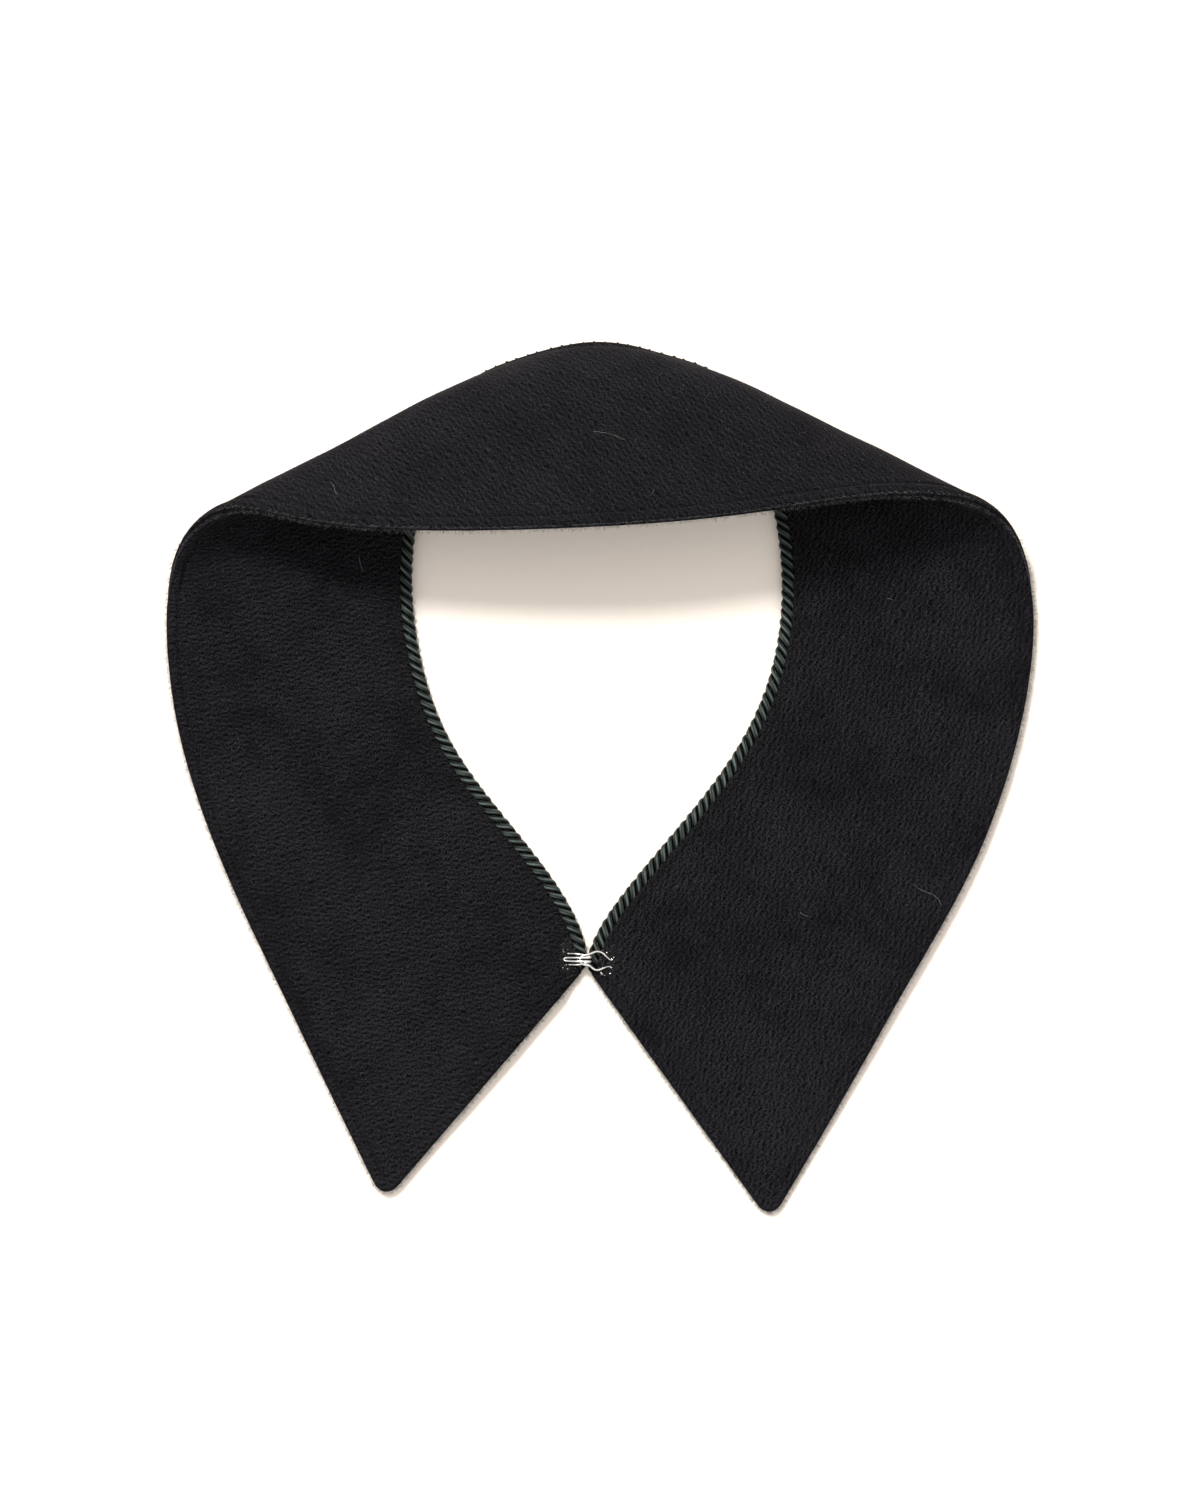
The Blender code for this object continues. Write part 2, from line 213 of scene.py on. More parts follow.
# The plies: side is the way its wall goes from the seam, turns are the weave's turns in degrees at the left
# and right of the cut, softness is half the range of the weave that goes from dark to light, cloud holds
# the darkest and lightest share of a cloud, and ribs is the weave's share of the speckled surface.
PLIES = table(
    namedtuple("Ply", "name node side other finish mirrored turns softness cloud ribs"),
    ("upper_wool", "upper_collar", -1, "under_wool",
     "brushed black melton", 1, (0, 0), 0.115, (0.67, 1.28), 0.38),
    ("under_wool", "under_collar", 1, "upper_wool",
     "black wool, grained", -1, (-8, 20), 0.06, (0.5, 1.36), 0.3),
)

# Shapes of threads and fibres: share of the length, and height above the cloth's face in millimetres, or
# for a fibre as a share of its own rise.
TOPSTITCH = ((-0.5, -0.33), (-0.36, -0.03), (-0.15, 0.04), (0.15, 0.04), (0.36, -0.03), (0.5, -0.33))
TOPSTITCH_SHOWN = 0.82  # the share of a stitch that its thread covers
HAND_THREAD, KNOT_THREAD = 1.9, 1.5  # their thickness over the topstitching thread's
CORD_STITCH = {  # on each face: 1 is the under ply's, and -1 the upper's
    1: ((0.0, 0.75), (0.2, 0.55), (0.45, 0.24), (0.75, 0.14), (1.0, -0.25)),
    -1: ((0.0, -0.7), (0.1, -0.1), (0.45, 0.08), (0.75, 0.04), (1.0, -0.25)),
}
CORD_STITCH_REACH, CORD_STITCH_SLANT = (1.5, 2.3), (0.4, 1.3)  # their least and most
CORD_STITCH_ENDS = 9  # how far from the front corners they begin and end
FIBRE = ((0.0, -0.25), (0.5, 0.8), (1.0, 0.75))
Fibres = namedtuple("Fibres", "length rise radius colour")  # millimetres
# The face fibres' colour is paler than the wool's: dark fibres with their sheen and backlight painted in.
FACE_FIBRES = Fibres(0.9, 0.22, 0.016, (0.028, 0.0265, 0.030))
EDGE_FIBRES = Fibres(0.8, 0.1, 0.018, (0.014, 0.0132, 0.015))

# Stray hairs on the cloth: start in plan, way in degrees, length, and how the way changes.
HAIRS = table(
    namedtuple("Hair", "face x y way length curl sway"),
    ("fall", -2.5, 88.2, -3, 9.3, -24, 0),
    ("fall", -68.8, 75.4, 0, 4.4, -35, -60),
    ("fall", 13.6, 73.7, -90, 2.3, -45, 0),
    ("panel", 80.9, -26.5, -60, 10.3, -20, 50),
    ("panel", -62.4, 57.7, -85, 4.0, 20, 0),
    ("panel", -95.4, -5.6, 30, 0.7, 0, 0),
    ("panel", 51.7, -34.3, -52, 2.6, 50, 0),
    ("panel", 74.1, 46.7, 20, 1.7, -60, 0),
    ("panel", -67.1, -10.3, 10, 0.6, 0, 0),
)
HAIR_RADIUS, HAIR_COLOUR = 0.03, (0.2, 0.19, 0.17)
FALL_ABOVE, PANEL_BELOW = 12, 6  # heights in millimetres that tell the fall's face from the panels'

HORIZON, OVERHEAD = 0.4, 1.3  # the sky's strength low down and overhead, as shares of its mean on the floor
KEY_PLACE, KEY_SIZE = (-0.54, 1.05, 1.66), 0.43  # metres
PICTURE_MIDDLE = 0.00755  # metres that the camera stands towards the back


def length_setting(name, description, default):
    return FloatProperty(name=name, description=description, default=default, unit="LENGTH", precision=5)


def colour_setting(name, description, default):
    return FloatVectorProperty(name=name, description=description, default=default, subtype="COLOR", size=3)


class ClothSizes(bpy.types.PropertyGroup):
    """The two plies of wool."""

    ply: length_setting("Ply", "Wall of one ply of melton", 0.0013)
    seam_gap: length_setting("Seam gap", "Room between the plies", 0.0003)
    field_spacing: length_setting("Mesh spacing", "Distance between mesh lines away from the edges", 0.00125)
    welt: length_setting("Welt", "Distance of the topstitching from the edge", 0.003)
    overlap: length_setting("Overlap", "How far the neck edge is felted over the side of the cord", 0.0013)
    wool_dark: colour_setting("Wool, dark", "Colour between the fibres", (0.0012, 0.0011, 0.0013))
    wool_light: colour_setting(
        "Wool, light", "Colour of the fibres that catch the light", (0.0153, 0.0146, 0.0168)
    )


class CordSizes(bpy.types.PropertyGroup):
    """The twisted cord on the neck edge."""

    radius: length_setting("Radius", "Radius over all three strands", 0.0018)
    pitch: length_setting("Pitch", "Length of one full turn of a strand", 0.0075)
    # Satin is the painted highlight on the yarns' crowns; Hollows is the yarn's dark colour with the shade of
    # its hollows painted in.
    colour: colour_setting("Satin", "Colour of the yarn where it catches the light", (0.108, 0.136, 0.122))
    hollow_colour_and_shade: colour_setting("Hollows", "Colour down between the yarns", (0.0022, 0.0014, 0.0016))


class SewingSizes(bpy.types.PropertyGroup):
    """Thread, stitches and the wire of the fastening."""

    stitch: length_setting("Stitch", "Length of one stitch with its gap", 0.0028)
    cord_stitch: length_setting("Cord stitch", "Distance between two stitches that hold the cord", 0.0029)
    thread_radius: length_setting("Thread radius", "Half the thread's thickness", 0.00012)
    wire_radius: length_setting("Wire radius", "Half the wire's thickness", 0.00025)
    thread_colour: colour_setting("Thread", "Colour of the sewing thread", (0.0042, 0.0038, 0.0042))
    hand_thread_colour: colour_setting(
        "Hand thread", "Colour of the thread that holds the cord", (0.0105, 0.0094, 0.0086)
    )
    knot_colour: colour_setting(
        "Knot thread", "Colour of the thread over the hook and eye", (0.011, 0.0104, 0.0115)
    )
    wire_colour: colour_setting("Wire", "Colour of the nickelled wire", (0.86, 0.85, 0.82))


class NapSizes(bpy.types.PropertyGroup):
    """Loose fibres of the wool."""

    face_fibres: IntProperty(name="Face fibres", description="Fibres on each ply's face", default=5600)
    edge_fibres: IntProperty(name="Edge fibres", description="Fibres along each ply's edges", default=4200)
    seed: IntProperty(name="Seed", description="Start of the random numbers", default=7)


class StageSizes(bpy.types.PropertyGroup):
    """Floor, light and camera."""

    camera_height: length_setting("Camera height", "Height of the camera above the floor", 1.1)
    picture_height: length_setting(
        "Picture height", "Length of floor from the picture's top to its bottom", 0.39
    )
    key_power: FloatProperty(name="Key power", description="Power of the key light", default=46, unit="POWER")
    sky: FloatProperty(name="Sky", description="Strength of the light from all round", default=1.0)
    floor_colour: colour_setting("Floor", "Colour of the floor", (0.88, 0.79, 0.705))


# ---- lines and places


def unit(vectors):
    return vectors / np.linalg.norm(vectors, axis=-1, keepdims=True)


def smooth_step(value, low, high):
    share = np.clip((value - low) / (high - low), 0, 1)
    return share * share * (3 - 2 * share)


def hump(value, centre, width):
    """A smooth bump of height 1, about twice as wide as width."""
    return np.exp(-(((value - centre) / width) ** 2))


def spans(knots, at):
    """The span between two knots that each place lies in, and its length."""
    gaps = np.diff(knots)
    span = np.clip(np.searchsorted(knots, at, side="right") - 1, 0, len(gaps) - 1)
    return span, gaps[span]


def natural_spline(knots, values, at):
    """Natural cubic spline through the rows of values, read at the given places."""
    gaps = np.diff(knots)
    slopes = np.diff(values, axis=0) / gaps[:, None]
    matrix = np.eye(len(knots))
    right = np.zeros_like(values)
    for row in range(1, len(knots) - 1):
        matrix[row, row - 1 : row + 2] = gaps[row - 1], 2 * (gaps[row - 1] + gaps[row]), gaps[row]
        right[row] = 6 * (slopes[row] - slopes[row - 1])
    bends = np.linalg.solve(matrix, right)
    span, gap = spans(knots, at)
    after = (at - knots[span])[:, None]
    gap = gap[:, None]
    before = gap - after
    curved = (bends[span] * before**3 + bends[span + 1] * after**3) / (6 * gap)
    start = (values[span] / gap - bends[span] * gap / 6) * before
    end = (values[span + 1] / gap - bends[span + 1] * gap / 6) * after
    return curved + start + end


def level_spline(knots, values, at):
    """Cubic spline with no overshoot, so that a level stretch stays exactly level."""
    slopes = np.diff(values) / np.diff(knots)
    tangents = np.zeros(len(values))
    for row in range(1, len(values) - 1):
        before, after = slopes[row - 1], slopes[row]
        if before * after > 0:
            tangents[row] = 2 * before * after / (before + after)
    span, gap = spans(knots, at)
    u = (at - knots[span]) / gap
    start = (1 + 2 * u) * (1 - u) ** 2 * values[span]
    end = (3 - 2 * u) * u**2 * values[span + 1]
    leaving = u * (1 - u) ** 2 * gap * tangents[span]
    arriving = (u - 1) * u**2 * gap * tangents[span + 1]
    return start + end + leaving + arriving


def edge_curve(knots, points, at):
    """One long edge of the collar: smooth in plan, and exactly level where it lies flat."""
    plan = natural_spline(knots, points[:, :2], at)
    height = level_spline(knots, points[:, 2], at)
    return np.column_stack([plan, height])


def lengths_along(points):
    """Distance along a line of points, from its first point to each."""
    steps = np.linalg.norm(np.diff(points, axis=0), axis=1)
    return np.concatenate([[0], np.cumsum(steps)])


def read_line(knots, line, at):
    """The line's values at the given places, straight between its knots."""
    return np.column_stack([np.interp(at, knots, values) for values in line.T])


def places_on(line, at, ahead=0.3):
    """Places at the given distances along a line, and the line's ways there, to a place ahead."""
    knots = lengths_along(line)
    places = read_line(knots, line, at)
    return places, unit(read_line(knots, line, at + ahead) - places)


def search_tree(places):
    """A search tree over places of two or three numbers each."""
    tree = KDTree(len(places))
    for index, place in enumerate(places):
        tree.insert((*place, 0)[:3], index)
    tree.balance()
    return tree


def fine_steps(stretches):
    """Places from 0: each stretch is (end, step)."""
    places = [0.0]
    for end, step in stretches:
        count = max(round((end - places[-1]) / step), 1)
        places.extend(np.linspace(places[-1], end, count + 1)[1:])
    return np.array(places)


# ---- the cloth's surface


def rest_height():
    """Height of the seam between the plies where the cloth lies on the floor."""
    sizes = bpy.context.scene.collar_cloth
    return (sizes.ply + sizes.seam_gap / 2) / MM


def round_point(grid, outer_way):
    """Rounds the collar point at the first cross line's outer end, in place."""
    point = grid[0, -1].copy()
    front_way = unit(grid[0, 0] - point)[:2]
    to_edges = np.linalg.inv(np.column_stack([front_way, outer_way]))
    near_point = np.linalg.norm(grid - point, axis=-1) < 2 * TIP_ROUNDING
    for station, step in np.argwhere(near_point):
        place = grid[station, step]
        inset = 1 - to_edges @ (place - point)[:2] / TIP_ROUNDING
        if inset.min() <= 0:
            continue
        inset *= inset.max() / np.linalg.norm(inset)
        kept = (1 - inset) * TIP_ROUNDING
        place[:2] = point[:2] + front_way * kept[0] + outer_way * kept[1]


def third_corner(start, end, from_start, from_end):
    """The third corner of a flat triangle, to the left of its base, from its two other sides."""
    base = end - start
    length = np.linalg.norm(base)
    along = (from_start**2 - from_end**2 + length**2) / (2 * length)
    off = np.sqrt(max(from_start**2 - along**2, 0))
    way = base / length
    return start + way * along + off * np.array([-way[1], way[0]])


def lay_flat(neck, hem):
    """Unrolls the strip between its two edges onto a plane, one cross line after the other."""
    flat = np.zeros((len(neck), 2, 2))
    flat[0, 1] = 0, -np.linalg.norm(hem[0] - neck[0])
    for row in range(1, len(neck)):
        to_neck = np.linalg.norm(neck[row] - neck[row - 1])
        cross = np.linalg.norm(neck[row] - hem[row - 1])
        flat[row, 0] = third_corner(flat[row - 1, 0], flat[row - 1, 1], to_neck, cross)
        width = np.linalg.norm(hem[row] - neck[row])
        to_hem = np.linalg.norm(hem[row] - hem[row - 1])
        flat[row, 1] = third_corner(flat[row, 0], flat[row - 1, 1], width, to_hem)
    return flat


def cross_lines(length, spacing):
    """Places of the mesh's cross lines along the collar: close by the front edges, even between."""
    ends = fine_steps(FRONT_STEPS)
    middle = np.linspace(ends[-1], length - ends[-1], round((length - 2 * ends[-1]) / spacing))
    return np.concatenate([ends, middle[1:-1], length - ends[::-1]])


def long_lines(neck_edge, hem_edge, at, spacing):
    """Where the mesh's long lines meet each cross line, as shares of its length from the neck edge."""
    across = hem_edge - neck_edge
    square_widths = [
        np.linalg.norm(np.cross(unit(across), unit(np.gradient(edge, at, axis=0))), axis=1)
        * np.linalg.norm(across, axis=1)
        for edge in (neck_edge, hem_edge)
    ]
    steps = fine_steps(SIDE_STEPS)
    overlap = bpy.context.scene.collar_cloth.overlap / MM
    from_neck = (steps - overlap) / square_widths[0][:, None]
    from_hem = 1 - steps[::-1] / square_widths[1][:, None]
    field = np.linspace(0, 1, round(USUAL_WIDTH / spacing))[1:-1]
    between = from_neck[:, -1:] + (from_hem[:, :1] - from_neck[:, -1:]) * field
    return np.hstack([from_neck, between, from_hem])


def collar_form():
    """The smooth surface midway between the plies, and its flat cut from the centre back's outer edge."""
    spacing = bpy.context.scene.collar_cloth.field_spacing / MM
    centre = np.array([*OUTLINE_CENTRE, -rest_height()])
    neck = np.array([(row.neck_x, row.neck_y, row.neck_rise) for row in SECTIONS]) - centre
    hem = np.array([(row.hem_x, row.hem_y, row.hem_rise) for row in SECTIONS]) - centre
    bow = np.array([row.bow for row in SECTIONS])
    knots = (lengths_along(neck) + lengths_along(hem)) / 2
    at = cross_lines(knots[-1], spacing)
    neck_edge, hem_edge = (edge_curve(knots, edge, at) for edge in (neck, hem))
    share = long_lines(neck_edge, hem_edge, at, spacing)
    across = hem_edge - neck_edge
    along = np.gradient(neck_edge + hem_edge, at, axis=0)
    swell = unit(np.cross(across, along)) * level_spline(knots, bow, at)[:, None] * SWELL_SCALE
    points = neck_edge[:, None] + across[:, None] * share[..., None]
    points += swell[:, None] * (share * (1 - share) ** 2)[..., None]
    strip = lay_flat(neck_edge, hem_edge)
    flat = strip[:, None, 0] + (strip[:, 1] - strip[:, 0])[:, None] * share[..., None]
    ahead = np.searchsorted(at, OUTER_WAY_AT)
    for grid in (points, points[::-1], flat, flat[::-1]):
        round_point(grid, unit(grid[ahead, -1] - grid[0, -1])[:2])
    back = np.searchsorted(at, knots[CENTRE_BACK])
    flat -= strip[back, 1]
    up = unit(strip[back, 0] - strip[back, 1])
    return points, np.stack([flat @ np.array([up[1], -up[0]]), flat @ up], axis=-1)


def on_panels(points):
    """1 where the cloth lies on the floor, and 0 where it has risen from its rest height."""
    return 1 - smooth_step(points[..., 2] - rest_height(), *PANEL_RISE)


def crease_field(points, measure):
    """The soft troughs and swells added up: measure is depth, or shade for the painted light and shade."""
    faces = {"panel": on_panels(points), "fall": smooth_step(points[..., 2], *FALL_HEIGHT)}
    total = np.zeros(points.shape[:2])
    for crease in CREASES:
        turn = np.radians(crease.turn)
        dx = points[..., 0] - crease.x
        dy = points[..., 1] - crease.y
        along = dx * np.cos(turn) + dy * np.sin(turn)
        across = dy * np.cos(turn) - dx * np.sin(turn)
        form = hump(along, 0, crease.length) * hump(across, 0, crease.width)
        total += faces[crease.face] * getattr(crease, measure) * form
    return total


def ripples(flat):
    """Gentle unevenness of the cloth, in millimetres of lift."""
    x, y = flat[..., 0], flat[..., 1]
    wide = np.sin(x / 9.1 + y / 14.3 + 0.6) * np.sin(y / 10.7 - x / 23.0 + 1.9)
    close = np.sin(x / 3.7 - y / 6.1 + 2.2) * np.sin(y / 4.3 + x / 8.9)
    return 0.16 * wide + 0.05 * close


def free_border(flat):
    """The cut's edge from the neck's left corner round the points and the outer edge to its right one."""
    return np.vstack([flat[0], flat[1:-1, -1], flat[-1, ::-1]])


def nearest_distance(line, flat):
    """Distance of each place of the flat cut from a line of places, no more than 20."""
    knots = lengths_along(line)
    tree = search_tree(read_line(knots, line, np.arange(0, knots[-1], 0.15)))
    found = [tree.find((*place, 0))[2] for place in flat.reshape(-1, 2)]
    return np.minimum(np.array(found).reshape(flat.shape[:2]), 20)


def sheet_normals(grid):
    """Unit normals that point to the under ply's side."""
    return unit(np.cross(np.gradient(grid, axis=0), np.gradient(grid, axis=1)))


def wall_profile(edge, neck):
    """Thickness of one ply at given distances from its edges: rounded edges, welts and stitched grooves."""
    sizes = bpy.context.scene.collar_cloth
    rolled = np.sqrt(1 - (1 - np.clip(edge / EDGE_ROUND, 0, 1)) ** 2)
    pressed = np.sqrt(1 - (1 - np.clip(neck / NECK_ROUND, 0, 1)) ** 2)
    wall = EDGE_WALL + (sizes.ply / MM - EDGE_WALL) * np.minimum(rolled, pressed)
    wall += OUTER_WELT.height * hump(edge, OUTER_WELT.at, OUTER_WELT.width)
    wall -= STITCH_GROOVE * hump(edge, sizes.welt / MM, GROOVE_WIDTH)
    for ridge in NECK_RIDGES:
        wall += ridge.height * hump(neck, ridge.at, ridge.width)
    return np.maximum(wall, LEAST_WALL)


Cloth = namedtuple("Cloth", "points normals flat wall face shade tree")


@lru_cache(maxsize=1)
def collar_cloth():
    """The surface midway between the plies with its relief and its flat cut, and the plies' wall.

    face is how far the outer face of each ply lies from that surface."""
    points, flat = collar_form()
    edge = nearest_distance(free_border(flat), flat)
    neck = nearest_distance(flat[:, 0], flat)
    level = on_panels(points)
    # painted light and shade of the creases and the fall, for the wool's colour
    shade = crease_field(points, "shade")
    lift = crease_field(points, "depth") + ripples(flat) + PANEL_SWELL * level
    lift = np.maximum(lift, rest_height() - points[..., 2])
    lift *= smooth_step(edge, *EDGE_FADE) * smooth_step(neck, *NECK_FADE)
    points += sheet_normals(points) * lift[..., None]
    curl = EDGE_LIFT * (1 - smooth_step(edge, 0, LIFT_REACH)) * smooth_step(neck, *LIFT_FADE)
    for point in POINTS:
        to_point = np.linalg.norm(flat - flat[point.row, -1], axis=-1)
        curl *= point.kept + (1 - point.kept) * smooth_step(to_point, point.near, point.far)
    points[..., 2] += curl * level
    wall = wall_profile(edge, neck)
    face = bpy.context.scene.collar_cloth.seam_gap / 2 / MM + wall
    tree = search_tree(flat.reshape(-1, 2))
    return Cloth(points, sheet_normals(points), flat, wall, face, shade, tree)


def cell_areas(flat):
    """Area of each cell of the flat cut, in square millimetres."""
    over = np.diff(flat, axis=0)[:, :-1]
    on = np.diff(flat, axis=1)[:-1]
    return np.abs(over[..., 0] * on[..., 1] - over[..., 1] * on[..., 0])


def grid_ways(grid, row, column):
    """The ways along and across a grid at its points, as the columns of a matrix."""
    last_row, last_column = grid.shape[0] - 1, grid.shape[1] - 1
    along = grid[np.minimum(row + 1, last_row), column] - grid[np.maximum(row - 1, 0), column]
    across = grid[row, np.minimum(column + 1, last_column)] - grid[row, np.maximum(column - 1, 0)]
    return np.stack([along, across], axis=-1)


def on_cloth(places, side):
    """Points on a ply's face at places of the flat cut, two ways in the face there, and its normals.

    side is -1 for the upper ply's face and 1 for the under ply's."""
    cloth = collar_cloth()
    found = [cloth.tree.find((*place, 0))[1] for place in places]
    row, column = np.divmod(np.array(found), cloth.flat.shape[1])
    to_space = grid_ways(cloth.points, row, column) @ np.linalg.inv(grid_ways(cloth.flat, row, column))
    offset = np.clip(np.asarray(places) - cloth.flat[row, column], -1, 1)
    points = cloth.points[row, column] + (to_space @ offset[..., None])[..., 0]
    outward = cloth.normals[row, column] * side
    points += outward * cloth.face[row, column][:, None]
    return points, unit(to_space[..., 0]), unit(to_space[..., 1]), outward


# ---- meshes


def select_only(piece):
    bpy.ops.object.select_all(action="DESELECT")
    piece.select_set(True)
    bpy.context.view_layer.objects.active = piece


def place_piece(piece, slot, *replaced):
    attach(piece, BODY)
    if replaced:
        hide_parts(*replaced)


def add_object(name, data, place=(0, 0, 0)):
    made = bpy.data.objects.new(name, data)
    made.location = place
    bpy.context.scene.collection.objects.link(made)
    return made


def make_tubes(name, routes, radius, ring, finish, slot, *replaced, radii=None):
    """Makes and places round tubes along routes in millimetres. ring is the bevel resolution."""
    curve = bpy.data.curves.new(name, "CURVE")
    curve.dimensions = "3D"
    curve.bevel_depth = radius * MM
    curve.bevel_resolution = ring
    curve.use_fill_caps = True
    for route in routes:
        spline = curve.splines.new("POLY")
        spline.points.add(len(route) - 1)
        spline.points.foreach_set("co", np.column_stack([route * MM, np.ones(len(route))]).ravel())
        if radii is not None:
            spline.points.foreach_set("radius", radii)
    select_only(add_object(name, curve))
    bpy.ops.object.convert(target="MESH")
    piece = bpy.context.object
    bpy.ops.object.mode_set(mode="EDIT")
    bpy.ops.mesh.select_all(action="SELECT")
    bpy.ops.mesh.remove_doubles(threshold=1e-7)
    bpy.ops.mesh.normals_make_consistent(inside=False)
    bpy.ops.object.mode_set(mode="OBJECT")
    piece.data.shade_smooth()
    piece.data.materials.clear()
    piece.data.materials.append(finish)
    place_piece(piece, slot, *replaced)
    return piece


def ply_sheet(ply):
    """The ply's seam side as a grid, with its places in the flat cut, its wall and its painted light and
    shade.
    """
    cloth = collar_cloth()
    rows, columns = cloth.wall.shape
    bpy.ops.mesh.primitive_grid_add(x_subdivisions=rows - 1, y_subdivisions=columns - 1, size=1)
    piece = bpy.context.object
    piece.name = piece.data.name = ply.name
    data = piece.data
    inner = cloth.points + cloth.normals * ply.side * bpy.context.scene.collar_cloth.seam_gap / 2 / MM
    data.vertices.foreach_set("co", (inner.transpose(1, 0, 2) * MM).ravel())
    corner = np.zeros(len(data.loops), int)
    data.loops.foreach_get("vertex_index", corner)
    cut = cloth.flat.transpose(1, 0, 2).reshape(-1, 2) * MM
    data.uv_layers[0].name = "cut"
    data.uv_layers[0].data.foreach_set("uv", cut[corner].ravel())
    data.update()
    wall = piece.vertex_groups.new(name="wall")
    for index, share in enumerate((cloth.wall / cloth.wall.max()).T.ravel()):
        wall.add([index], float(share), "REPLACE")
    # the nap attribute holds the painted light and shade, not the nap's own colour
    nap = data.attributes.new("nap", "FLOAT", "POINT")
    nap.data.foreach_set("value", cloth.shade.T.ravel())
    return piece


def add_wall(piece, side):
    """Thickens the sheet to its wall, and keeps it off the floor."""
    select_only(piece)
    solid = piece.modifiers.new("ply wall", "SOLIDIFY")
    solid.thickness = collar_cloth().wall.max() * MM
    solid.offset = side
    solid.vertex_group = "wall"
    bpy.ops.object.modifier_apply(modifier=solid.name)
    data = piece.data
    places = np.zeros(3 * len(data.vertices))
    data.vertices.foreach_get("co", places)
    places[2::3] = np.maximum(places[2::3], FLOOR_ROOM * MM)
    data.vertices.foreach_set("co", places)
    data.update()
    data.shade_smooth()


# ---- finishes


class Nodes:
    """A node tree with short calls for its nodes."""

    def __init__(self, tree):
        self.tree = tree

    def node(self, kind, settings=(), **inputs):
        """A node; inputs are values or the sockets that feed them."""
        made = self.tree.nodes.new(f"ShaderNode{kind}")
        for key, value in dict(settings).items():
            setattr(made, key, value)
        for key, value in inputs.items():
            socket = made.inputs[int(key[2:])] if key.startswith("in") else made.inputs[key]
            if isinstance(value, bpy.types.NodeSocket):
                self.tree.links.new(value, socket)
            else:
                socket.default_value = value
        return made

    def noise(self, vector, scale, detail=2.0, roughness=0.5):
        made = self.node("TexNoise", Vector=vector, Scale=scale, Detail=detail, Roughness=roughness)
        return made.outputs["Fac"]

    def mapped(self, vector, scale):
        return self.node("Mapping", Vector=vector, Scale=scale).outputs["Vector"]

    def place(self):
        return self.node("TexCoord").outputs["Object"]

    def uv(self, name="UVMap"):
        return self.node("UVMap", {"uv_map": name}).outputs["UV"]

    def attribute(self, name):
        return self.node("Attribute", {"attribute_name": name}).outputs["Fac"]

    def math(self, operation, first, second=0.0, third=0.0):
        return self.node("Math", {"operation": operation}, in0=first, in1=second, in2=third).outputs[0]

    def times(self, first, second):
        return self.math("MULTIPLY", first, second)

    def weighed(self, share, first, second):
        """The first value by its share, and the second by the rest."""
        return self.math("ADD", self.times(first, share), self.times(second, 1 - share))

    def vector_math(self, operation, *vectors):
        """A Vector Math node's result: a number for a dot product or a distance, else a vector."""
        inputs = {f"in{index}": vector for index, vector in enumerate(vectors)}
        made = self.node("VectorMath", {"operation": operation}, **inputs)
        return made.outputs["Value" if operation in ("DOT_PRODUCT", "DISTANCE") else "Vector"]

    def spread(self, value, low, high, to_low=0.0, to_high=1.0):
        made = self.node("MapRange", in0=value, in1=low, in2=high, in3=to_low, in4=to_high)
        return made.outputs[0]

    def mix(self, share, first, second):
        """A colour between two colours of three numbers, or sockets of them."""
        first, second = (
            colour if isinstance(colour, bpy.types.NodeSocket) else (*colour, 1) for colour in (first, second)
        )
        return self.node("Mix", {"data_type": "RGBA"}, in0=share, in6=first, in7=second).outputs[2]

    def shaded(self, share, colour, darkest):
        """From the colour's darkest shade to the colour."""
        return self.mix(share, [darkest * part for part in colour], colour)

    def bump(self, height, strength, distance, **normal):
        made = self.node("Bump", Height=height, Strength=strength, Distance=distance, **normal)
        return made.outputs["Normal"]


class Finish(Nodes):
    """A material, and its nodes."""

    def __init__(self, name, **sockets):
        self.material = bpy.data.materials.new(name)
        self.material.use_nodes = True
        super().__init__(self.material.node_tree)
        self.shader = self.tree.nodes["Principled BSDF"]
        for socket, value in sockets.items():
            self.shader.inputs[socket.replace("_", " ")].default_value = value

    def link(self, output, socket):
        self.tree.links.new(output, self.shader.inputs[socket])


def weave_waves(finish, cut):
    """The ribs of the weave on the flat cut, 0.5 on average, a little unsteady as milled wool is."""
    drift = finish.node("TexNoise", Vector=cut, Scale=280, Detail=1.0).outputs["Color"]
    broken = finish.spread(finish.noise(cut, 700, 1.0), 0.35, 0.65, 0.35, 1.5)
    cut = finish.vector_math("MULTIPLY_ADD", drift, (0.002, 0.002, 0), cut)
    total = 0.0
    for number, rib in enumerate(RIBS):
        ways = rib.warps * np.array(WARP) + rib.wefts * np.array(WEFT)
        turns = finish.vector_math("DOT_PRODUCT", cut, (*ways * 2 * np.pi / REPEAT / MM, 0))
        wave = finish.math("SINE", finish.math("ADD", turns, 1.7 * number))
        total = finish.math("MULTIPLY_ADD", wave, 0.085 * rib.share, total)
    return finish.math("MULTIPLY_ADD", total, broken, 0.5)


